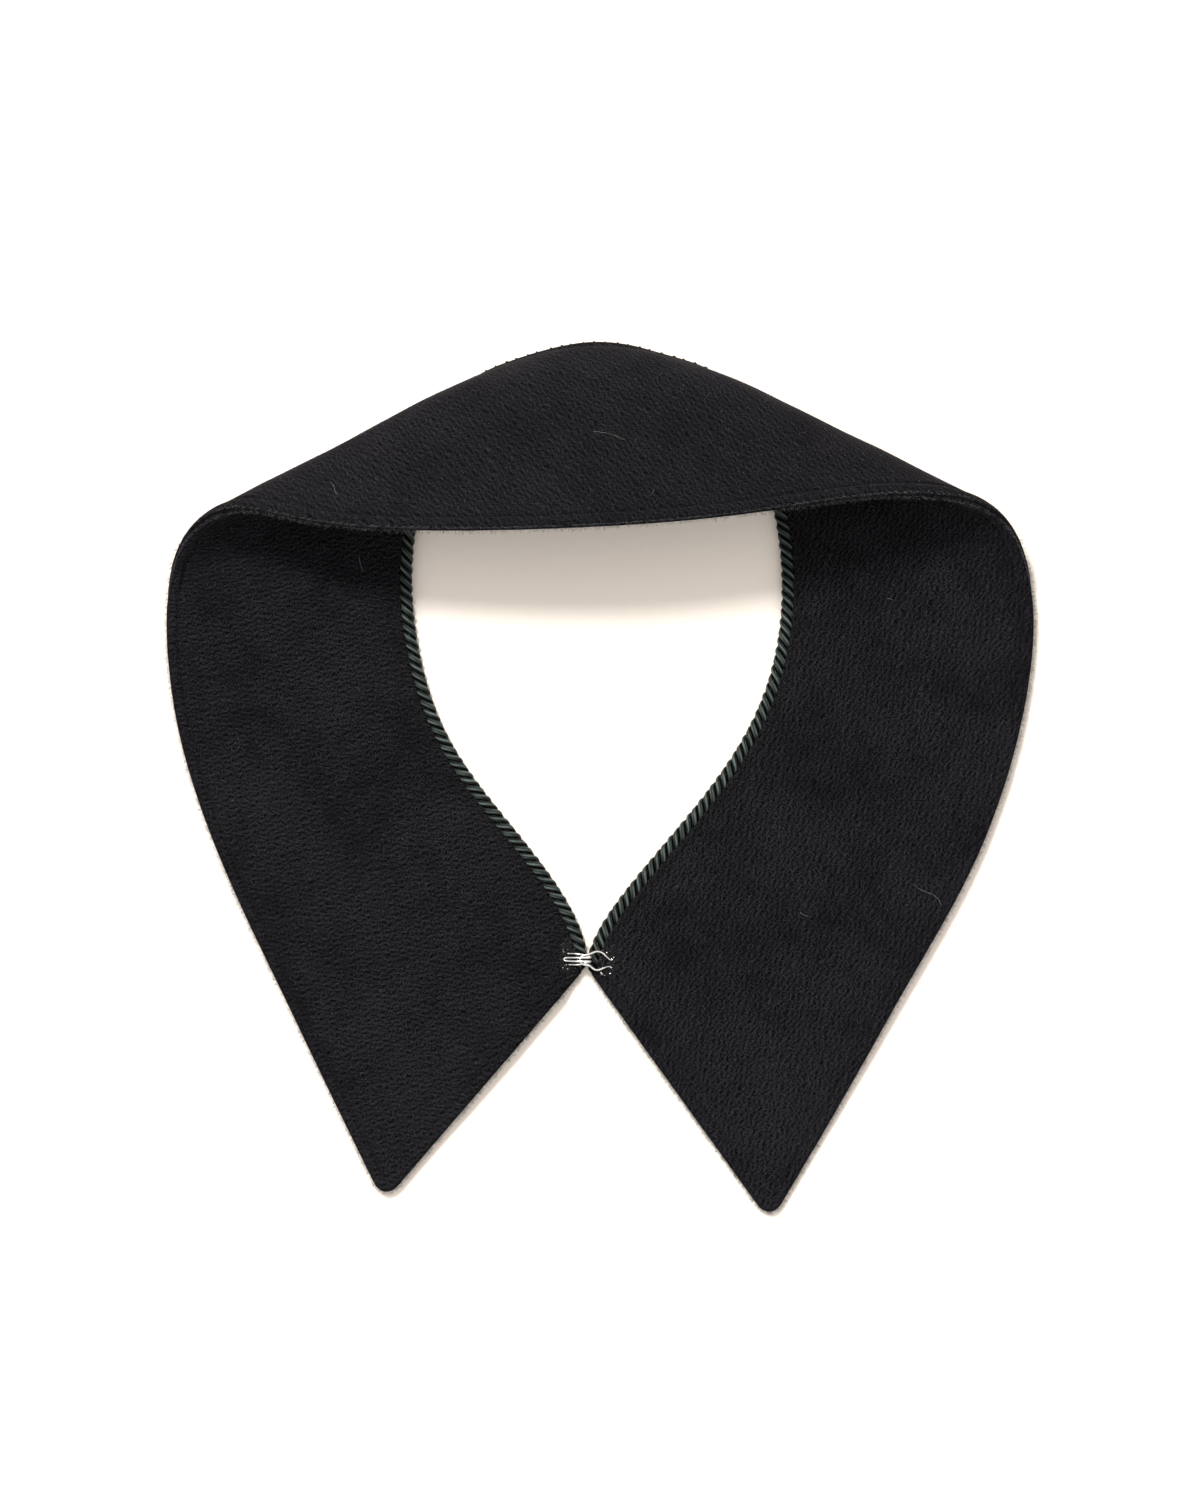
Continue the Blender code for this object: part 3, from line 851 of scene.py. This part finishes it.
def wool_finish(ply):
    """Black milled wool: its weave along the cut, fine speckle, clouds, painted light and shade on the
    creases, and a colour a little paler towards the collar points.
    """
    sizes = bpy.context.scene.collar_cloth
    point = np.abs(collar_cloth().flat[[0, -1], -1] * MM).mean(axis=0)
    wool = Finish(
        ply.finish, Roughness=0.95, Specular_IOR_Level=0.02, Sheen_Weight=0.045, Sheen_Roughness=0.4,
        Sheen_Tint=(0.93, 0.92, 1.0, 1),
    )
    cut = wool.uv("cut")
    halves = wool.node("SeparateXYZ", Vector=cut)
    across = halves.outputs["X"]
    turn = wool.spread(across, -0.06, 0.06, *np.radians(ply.turns))
    grained = wool.mapped(cut, (1, ply.mirrored, 1))
    grained = wool.node("VectorRotate", {"rotation_type": "Z_AXIS"}, Vector=grained, Angle=turn)
    weave = weave_waves(wool, grained.outputs["Vector"])
    speckle = wool.weighed(0.66, wool.noise(cut, 3500, 1.0, 0.6), wool.noise(cut, 1700, 1.0, 0.6))
    mat = wool.weighed(ply.ribs, weave, speckle)
    tone = wool.math("POWER", wool.spread(mat, 0.5 - ply.softness, 0.5 + ply.softness), 1.25)
    cloudy = wool.weighed(0.6, wool.noise(cut, 55, 2, 0.55), wool.noise(cut, 150, 2, 0.6))
    shade = wool.times(tone, wool.spread(cloudy, 0.3, 0.7, *ply.cloud))
    # painted light and shade of the creases, from the nap attribute
    shade = wool.times(shade, wool.math("ADD", wool.attribute("nap"), 1.0))
    # a colour a little paler towards the collar points
    either_side = wool.node("CombineXYZ", X=wool.math("ABSOLUTE", across), Y=halves.outputs["Y"])
    from_point = wool.vector_math("DISTANCE", either_side.outputs["Vector"], (*point, 0))
    shade = wool.times(shade, wool.spread(from_point, 0.012, 0.06, 1.5, 1.0))
    wool.link(wool.mix(shade, sizes.wool_dark, sizes.wool_light), "Base Color")
    rough = wool.bump(mat, 0.8, 0.00016)
    wool.link(wool.bump(cloudy, 0.5, 0.0012, Normal=rough), "Normal")
    return wool.material


def fibre_finish(name, colour):
    fibre = Finish(name, Roughness=0.85, Specular_IOR_Level=0.2, Sheen_Weight=0.3, Sheen_Roughness=0.5)
    tone = fibre.spread(fibre.noise(fibre.place(), 320, 1), 0.35, 0.65)
    fibre.link(fibre.shaded(tone, colour, 0.45), "Base Color")
    return fibre.material


def satin_finish(length):
    """Green satin yarn with filament texture: a painted highlight on the crests of the yarns, and painted
    shade in the hollows between them.
    """
    sizes = bpy.context.scene.collar_cord
    satin = Finish(
        "bottle green satin", Roughness=0.3, Specular_IOR_Level=0.1, Specular_Tint=(0.75, 1.0, 0.9, 1)
    )
    filaments = satin.noise(satin.mapped(satin.uv(), (length * 0.35, 26, 1)), 1.0, 2, 0.6)
    patches = satin.spread(satin.noise(satin.place(), 260, 2), 0.3, 0.7, 0.6, 1.2)
    strands = satin.times(satin.spread(filaments, 0.35, 0.7, 0.45, 1.25), patches)
    # painted light: a highlight on the yarns' crowns, shade in their hollows
    tone = satin.times(satin.attribute("crest"), strands)
    satin.link(satin.mix(tone, sizes.hollow_colour_and_shade, sizes.colour), "Base Color")
    satin.link(satin.bump(filaments, 0.6, 0.00012), "Normal")
    return satin.material


def wire_finish():
    wire = Finish("nickelled wire", Metallic=1.0, Roughness=0.2)
    worn = wire.noise(wire.place(), 900, 3, 0.6)
    bright = wire.spread(worn, 0.4, 0.7, 1.0, 0.0)
    wire.link(wire.shaded(bright, bpy.context.scene.collar_sewing.wire_colour, 0.72), "Base Color")
    wire.link(wire.spread(worn, 0.3, 0.8, 0.14, 0.34), "Roughness")
    wire.link(wire.bump(worn, 0.15, 0.00004), "Normal")
    return wire.material


def thread_finish(name, colour, painted_end_highlight=0.0):
    """Sewing thread: its own fine twist shows as slanting lines, and its ends may get a painted highlight."""
    thread = Finish(name, Roughness=0.75, Specular_IOR_Level=0.15)
    along = thread.uv()
    twist = thread.node(
        "TexWave", {"bands_direction": "DIAGONAL"}, Vector=thread.mapped(along, (6, 1.5, 1)), Scale=2.0
    ).outputs["Fac"]
    shade = thread.shaded(twist, colour, 0.4)
    if painted_end_highlight:
        # a painted highlight on some of the thread's ends
        from_start = thread.node("SeparateXYZ", Vector=along).outputs["X"]
        some = thread.spread(thread.noise(thread.place(), 1100, 0), 0.4, 0.55)
        pale = thread.times(thread.spread(from_start, 0.7, 0.82), some)
        shade = thread.mix(pale, shade, [painted_end_highlight] * 3)
    thread.link(shade, "Base Color")
    thread.link(thread.bump(twist, 0.5, 0.00005), "Normal")
    return thread.material


# ---- cord, wires, sewing and fibres


def cord_route():
    """The neck cord's centre line: beside the neck edge on the panels, and turned in under it at the back."""
    cloth = collar_cloth()
    radius = bpy.context.scene.collar_cord.radius / MM
    edge = cloth.points[:, 0]
    edge_way = unit(np.gradient(edge, axis=0))
    outward = edge - cloth.points[:, INNER_LINE]
    outward -= edge_way * (outward * edge_way).sum(axis=1, keepdims=True)
    outward = unit(outward)
    rise = edge[:, 2] - rest_height()
    turn = np.radians(CORD_TURN) * smooth_step(rise, *CORD_TURNS)
    sideways = (radius + CORD_BESIDE) * np.cos(turn) - bpy.context.scene.collar_cloth.overlap / MM
    under = CORD_SINK * smooth_step(rise, *CORD_SINKS) + CORD_UNDER * np.sin(turn)
    route = edge + outward * sideways[:, None] + cloth.normals[:, 0] * under[:, None]
    route[:, 2] = np.maximum(route[:, 2], radius)
    knots = lengths_along(route)
    at = np.linspace(CORD_INSET, knots[-1] - CORD_INSET, 800)
    bent_back = CORD_BENT_BACK * (1 - smooth_step(np.minimum(at - at[0], at[-1] - at), 0, CORD_BEND))
    return read_line(knots, route, at) - read_line(knots, outward, at) * bent_back[:, None]


def cord_strands(route):
    """Centre lines of the three strands with the outward ways on them, and how full the cord is."""
    sizes = bpy.context.scene.collar_cord
    at = lengths_along(route)
    along = unit(np.gradient(route, axis=0))
    sideways = unit(np.cross(along, (0, 0, 1)))
    up = np.cross(sideways, along)
    orbit = STRAND_ORBIT * sizes.radius / MM
    taper = smooth_step(at, *CORD_TAPER) * smooth_step(at[-1] - at, *CORD_TAPER)
    strands = []
    for strand in range(3):
        angle = (2 * np.pi * (at * MM / sizes.pitch + strand / 3))[:, None]
        outward = np.cos(angle) * sideways + np.sin(angle) * up
        strands.append((route + orbit * taper[:, None] * outward, outward))
    return strands, taper


def strand_yarns(strand, outward, reach):
    """Centre lines of the four yarns that are twisted into a strand, reach from its centre line."""
    beside = unit(np.cross(unit(np.gradient(strand, axis=0)), outward))
    turn = 2 * np.pi * lengths_along(strand) / YARN_PITCH
    yarns = []
    for yarn in range(4):
        angle = (turn + yarn * np.pi / 2)[:, None]
        yarns.append(strand + reach[:, None] * (np.cos(angle) * outward + np.sin(angle) * beside))
    return yarns


def mark_crests(cord, route, strands):
    """Stores the cord's painted light: a highlight where a point is on the outside of its strand and of its
    yarn, and shade in the hollows.
    """
    middles, ways = (np.vstack(rows) for rows in zip(*strands))
    centres, strand_centres = search_tree(route * MM), search_tree(middles * MM)
    # shown collects each point's painted light: highlight on the outside, shade in the hollows
    shown = []
    for vertex in cord.data.vertices:
        distance = centres.find(vertex.co)[2] / bpy.context.scene.collar_cord.radius
        middle, index, _ = strand_centres.find(vertex.co)
        out = (vertex.co - middle).normalized()
        outer = max(out.dot(ways[index]), 0) ** 3
        painted_crown_light = PAINTED_SIDE_LIGHT + (1 - PAINTED_SIDE_LIGHT) * max(out.dot(vertex.normal), 0) ** 3
        shown.append(outer * painted_crown_light * smooth_step(distance, *PAINTED_LIGHT_FROM))
    crest = cord.data.attributes.new("crest", "FLOAT", "POINT")
    crest.data.foreach_set("value", shown)


def wire_route(bends, count=170):
    """A wire's centre line through a list of bends, in millimetres."""
    points = np.array([*HOOK_PLACE, WIRE_SEAT]) + np.array(bends)
    knots = lengths_along(points)
    return natural_spline(knots, points, np.linspace(0, knots[-1], count))


def stitch_places(line, inset, pitch):
    """Middles and ways of the stitches on a line that runs inset from the given edge of the flat cut."""
    knots = lengths_along(line)
    edge = read_line(knots, line, np.arange(0, knots[-1], 0.2))
    way = unit(np.gradient(edge, axis=0))
    inner = edge + inset * np.column_stack([-way[:, 1], way[:, 0]])
    tree = search_tree(edge)
    inner = inner[[tree.find((*place, 0))[2] > inset - 0.06 for place in inner]]
    return places_on(inner, np.arange(pitch, lengths_along(inner)[-1] - pitch, pitch))


def routes_through(steps, least):
    """Routes through the places of each step in turn, kept at least so high above the floor."""
    routes = np.stack(steps, axis=1)
    routes[..., 2] = np.maximum(routes[..., 2], least)
    return list(routes)


def threads(profile, side, least, places_at):
    """Threads on a ply's face, of a profile's shape, over the places that places_at gives for its shares."""
    steps = []
    for share, height in profile:
        points, _, _, normal = on_cloth(places_at(share), side)
        steps.append(points + normal * height)
    return routes_through(steps, least)


def cord_stitches(draw, at, side):
    """Slanting hand stitches from the cord into the cloth, at distances along the neck edge."""
    reach = draw.uniform(*CORD_STITCH_REACH, len(at))
    slant = draw.uniform(*CORD_STITCH_SLANT, len(at))

    def places_at(share):
        places, along = places_on(collar_cloth().flat[:, 0], at + slant * share, 0.4)
        inward = np.column_stack([along[:, 1], -along[:, 0]])
        return places + inward * (reach * share + 0.15)[:, None]

    return threads(CORD_STITCH[side], side, 0.3, places_at)


def patch_threads(draw, patch):
    """Threads from the middle of an oval patch outwards, over the wire and down into the cloth."""
    routes = []
    turn = np.radians(patch.turn)
    for spoke in np.linspace(0, 2 * np.pi, patch.threads, endpoint=False):
        angle = spoke + draw.uniform(-0.25, 0.25)
        reach = draw.uniform(0.65, 1.1)
        x, y = patch.half_length * np.cos(angle), patch.half_width * np.sin(angle)
        way = np.array([x * np.cos(turn) - y * np.sin(turn), x * np.sin(turn) + y * np.cos(turn)])
        top = PATCH_TOP + draw.uniform(-0.15, 0.15)
        start = HOOK_PLACE + (patch.x, patch.y) + draw.uniform(-0.2, 0.2, 2)
        shares = (0.05, 0.12, 0.35, 0.6, reach * 0.88, reach)
        heights = (PATCH_FOOT - 0.1, top - 0.3, top, top - 0.35, PATCH_FOOT + 0.3, PATCH_FOOT - 0.2)
        routes.append(np.column_stack([[start + way * share for share in shares], heights]))
    return routes


def nap_fibres(draw, places, side, fibres, outward=None):
    """Curved fibres that start in the cloth's face; outward holds their ways in the cut, if not any way."""
    points, one_way, other_way, normal = on_cloth(places, side)
    count = len(points)
    if outward is None:
        angle = draw.uniform(0, 2 * np.pi, count)[:, None]
    else:
        angle = (np.arctan2(outward[:, 1], outward[:, 0]) + draw.normal(0, 0.6, count))[:, None]
    way = one_way * np.cos(angle) + other_way * np.sin(angle)
    bend = one_way * np.sin(angle) - other_way * np.cos(angle)
    size = (fibres.length * draw.uniform(0.4, 1.5, count))[:, None]
    lift = (fibres.rise * draw.uniform(0.2, 1.3, count))[:, None]
    curl = draw.normal(0, 0.4, count)[:, None]
    steps = [
        points + size * (way * share + bend * curl * share**2) + normal * lift * height
        for share, height in FIBRE
    ]
    return routes_through(steps, FLOOR_ROOM)


def hair_route(hair):
    """A stray hair that lies on the face it is on, and arches a little off it."""
    cloth = collar_cloth()
    on_fall = hair.face == "fall"
    shown = cloth.points[..., 2] > FALL_ABOVE if on_fall else cloth.points[..., 2] < PANEL_BELOW
    tops = (cloth.points + cloth.normals * ((-1 if on_fall else 1) * cloth.face)[..., None])[shown]
    share = np.linspace(0, 1, 12)
    turn = np.radians(hair.way + hair.curl * share + hair.sway * np.sin(np.pi * share))
    step = hair.length / len(share)
    path = np.cumsum(np.column_stack([np.cos(turn), np.sin(turn)]) * step, axis=0) + (hair.x, hair.y)
    nearest = [np.argmin(((tops[:, :2] - place) ** 2).sum(axis=1)) for place in path]
    return np.column_stack([path, tops[nearest, 2] + 0.1 + 0.15 * np.sin(np.pi * share)])


# ---- operators


class COLLAR_OT_stage(bpy.types.Operator):
    """Lays the pale floor, and sets the lights and the camera"""

    bl_idname = "collar.stage"
    bl_label = "Stage"

    def execute(self, context):
        sizes = context.scene.collar_stage
        bpy.ops.mesh.primitive_plane_add(size=6, location=(0, 0, 0))
        floor = context.object
        floor.name = "floor"
        paper = Finish("pale paper", Roughness=0.9, Specular_IOR_Level=0.1)
        tone = paper.spread(paper.noise(paper.place(), 400, 2), 0.3, 0.7)
        paper.link(paper.shaded(tone, sizes.floor_colour, 0.985), "Base Color")
        floor.data.materials.append(paper.material)
        world = bpy.data.worlds.new("studio")
        world.use_nodes = True
        sky = Nodes(world.node_tree)
        background = sky.tree.nodes["Background"]
        background.inputs["Color"].default_value = (1.0, 0.99, 0.98, 1)
        height = sky.node("SeparateXYZ", Vector=sky.node("TexCoord").outputs["Generated"]).outputs["Z"]
        strength = sky.spread(height, 0.0, 1.0, sizes.sky * HORIZON, sizes.sky * OVERHEAD)
        sky.tree.links.new(strength, background.inputs["Strength"])
        context.scene.world = world
        light = bpy.data.lights.new("key", "AREA")
        light.shape = "DISK"
        light.size = KEY_SIZE
        light.energy = sizes.key_power
        key = add_object("key", light, KEY_PLACE)
        key.rotation_euler = key.location.to_track_quat("Z", "Y").to_euler()
        lens = bpy.data.cameras.new("overhead")
        lens.sensor_width = 36
        lens.lens = lens.sensor_width * sizes.camera_height / sizes.picture_height
        lens.clip_start = 0.05
        context.scene.camera = add_object("overhead", lens, (0, PICTURE_MIDDLE, sizes.camera_height))
        context.scene.view_settings.view_transform = "Standard"
        return {"FINISHED"}


class COLLAR_OT_plies(bpy.types.Operator):
    bl_idname = "collar.plies"
    bl_label = "Wool plies"

    def execute(self, context):
        cut = collar_cloth().flat
        for ply in PLIES:
            piece = ply_sheet(ply)
            add_wall(piece, ply.side)
            piece.data.materials.append(wool_finish(ply))
            place_piece(piece, ply.name, ply.node)
        return {"FINISHED"}


class COLLAR_OT_cord(bpy.types.Operator):
    """Makes the neck cord of three twisted strands, each of four satin yarns"""

    bl_idname = "collar.cord"
    bl_label = "Neck cord"

    def execute(self, context):
        route = cord_route()
        strands, taper = cord_strands(route)
        radius = STRAND_RADIUS * context.scene.collar_cord.radius / MM
        yarns = []
        for strand, outward in strands:
            yarns += strand_yarns(strand, outward, YARN_ORBIT * radius * taper)
        finish = satin_finish(lengths_along(yarns[0])[-1])
        swell = END_YARN + (1 - END_YARN) * taper
        radius *= YARN_RADIUS
        cord = make_tubes("neck_cord_strands", yarns, radius, 2, finish, "cord", "neck_cord", radii=swell)
        # paints the highlights on the yarns' crowns and the shade in their hollows
        mark_crests(cord, route, strands)
        return {"FINISHED"}


class COLLAR_OT_fastening(bpy.types.Operator):
    """Makes the wire hook and the wire eye"""

    bl_idname = "collar.fastening"
    bl_label = "Hook and eye"

    def execute(self, context):
        radius = context.scene.collar_sewing.wire_radius / MM
        finish = wire_finish()
        other_half = [bend._replace(y=-bend.y) for bend in HOOK_HALF[-2::-1]]
        for name, node, bends in (("wire_hook", "hook", [*HOOK_HALF, *other_half]), ("wire_eye", "eye", EYE)):
            make_tubes(name, [wire_route(bends)], radius, 4, finish, "wire", node)
        return {"FINISHED"}


class COLLAR_OT_topstitching(bpy.types.Operator):
    """Sews the row of stitches inside the outer edge, on both faces"""

    bl_idname = "collar.topstitching"
    bl_label = "Topstitching"

    def execute(self, context):
        sewing = context.scene.collar_sewing
        stitch = sewing.stitch / MM
        inset = context.scene.collar_cloth.welt / MM
        finish = thread_finish("black sewing thread", sewing.thread_colour)
        middles, ways = stitch_places(collar_cloth().flat[:, -1], inset, stitch)
        routes = []
        for side in (-1, 1):
            routes += threads(
                TOPSTITCH, side, 0.2, lambda share: middles + ways * share * stitch * TOPSTITCH_SHOWN
            )
        make_tubes("edge_topstitching", routes, sewing.thread_radius / MM, 1, finish, "under_wool")
        return {"FINISHED"}


class COLLAR_OT_cord_stitches(bpy.types.Operator):
    """Sews the cord to the neck edge by hand, with slanting stitches on both faces"""

    bl_idname = "collar.cord_stitches"
    bl_label = "Cord stitches"

    def execute(self, context):
        sewing = context.scene.collar_sewing
        draw = np.random.default_rng(context.scene.collar_nap.seed + 3)
        length = lengths_along(collar_cloth().flat[:, 0])[-1]
        at = np.arange(CORD_STITCH_ENDS, length - CORD_STITCH_ENDS, sewing.cord_stitch / MM)
        at += draw.uniform(-0.5, 0.5, len(at))
        routes = cord_stitches(draw, at, -1) + cord_stitches(draw, at, 1)
        finish = thread_finish("brown buttonhole thread", sewing.hand_thread_colour)
        make_tubes("cord_stitches", routes, sewing.thread_radius / MM * HAND_THREAD, 1, finish, "cord")
        return {"FINISHED"}


class COLLAR_OT_fastening_thread(bpy.types.Operator):
    """Sews the hook, the eye and the cord's ends to the cloth with patches of thread"""

    bl_idname = "collar.fastening_thread"
    bl_label = "Fastening thread"

    def execute(self, context):
        sewing = context.scene.collar_sewing
        draw = np.random.default_rng(context.scene.collar_nap.seed)
        routes = [route for patch in PATCHES for route in patch_threads(draw, patch)]
        # 0.06 is the colour of the painted highlight on the threads' ends
        finish = thread_finish("black buttonhole thread", sewing.knot_colour, 0.06)
        radius = sewing.thread_radius / MM * KNOT_THREAD
        make_tubes("fastening_thread", routes, radius, 1, finish, "under_wool")
        return {"FINISHED"}


class COLLAR_OT_nap(bpy.types.Operator):
    """Raises the nap of both plies, on their faces and along their edges"""

    bl_idname = "collar.nap"
    bl_label = "Nap"

    def execute(self, context):
        sizes = context.scene.collar_nap
        draw = np.random.default_rng(sizes.seed + 1)
        cut = collar_cloth().flat
        finish = fibre_finish("black wool fibre", FACE_FIBRES.colour)
        edge_finish = fibre_finish("black wool edge fibre", EDGE_FIBRES.colour)
        cell = cell_areas(cut).ravel()
        border = free_border(cut)
        for ply in PLIES:
            drawn = draw.choice(len(cell), sizes.face_fibres, p=cell / cell.sum())
            row, column = np.divmod(drawn, cut.shape[1] - 1)
            places = cut[row, column] + draw.uniform(-0.6, 0.6, (sizes.face_fibres, 2))
            nap = nap_fibres(draw, places, ply.side, FACE_FIBRES)
            make_tubes(f"{ply.name}_nap", nap, FACE_FIBRES.radius, 0, finish, ply.name)
            at = draw.uniform(0, lengths_along(border)[-1], sizes.edge_fibres)
            edge, along = places_on(border, at)
            outward = along @ np.array([[0, -1], [1, 0]])
            nap = nap_fibres(draw, edge, ply.side, EDGE_FIBRES, outward)
            make_tubes(f"{ply.name}_fringe", nap, EDGE_FIBRES.radius, 0, edge_finish, ply.name)
        return {"FINISHED"}


class COLLAR_OT_hairs(bpy.types.Operator):
    """Lays a few stray hairs and pieces of lint on the cloth"""

    bl_idname = "collar.hairs"
    bl_label = "Stray hairs"

    def execute(self, context):
        finish = fibre_finish("pale lint", HAIR_COLOUR)
        routes = [hair_route(hair) for hair in HAIRS]
        make_tubes("stray_hairs", routes, HAIR_RADIUS, 0, finish, "upper_wool")
        return {"FINISHED"}


class COLLAR_PT_sidebar(bpy.types.Panel):
    """Shows the collar's settings, and the buttons that make its pieces"""

    bl_idname = "COLLAR_PT_sidebar"
    bl_label = "Wool collar"
    bl_space_type = "VIEW_3D"
    bl_region_type = "UI"
    bl_category = "Collar"

    def draw(self, context):
        for name, group in GROUPS.items():
            settings = getattr(context.scene, name)
            self.layout.label(text=group.__doc__)
            for setting in group.__annotations__:
                self.layout.prop(settings, setting)
        for operator in OPERATORS:
            self.layout.operator(operator.bl_idname)


GROUPS = {
    "collar_cloth": ClothSizes,
    "collar_cord": CordSizes,
    "collar_sewing": SewingSizes,
    "collar_nap": NapSizes,
    "collar_stage": StageSizes,
}
OPERATORS = (
    COLLAR_OT_stage,
    COLLAR_OT_plies,
    COLLAR_OT_cord,
    COLLAR_OT_fastening,
    COLLAR_OT_topstitching,
    COLLAR_OT_cord_stitches,
    COLLAR_OT_fastening_thread,
    COLLAR_OT_nap,
    COLLAR_OT_hairs,
)


def register():
    for made in (*GROUPS.values(), *OPERATORS, COLLAR_PT_sidebar):
        bpy.utils.register_class(made)
    for name, group in GROUPS.items():
        setattr(bpy.types.Scene, name, PointerProperty(type=group))


def unregister():
    for name in GROUPS:
        delattr(bpy.types.Scene, name)
    for made in (COLLAR_PT_sidebar, *OPERATORS[::-1], *list(GROUPS.values())[::-1]):
        bpy.utils.unregister_class(made)


def main():
    register()
    for operator in OPERATORS:
        category, name = operator.bl_idname.split(".")
        getattr(getattr(bpy.ops, category), name)()


if __name__ == "__main__":
    main()
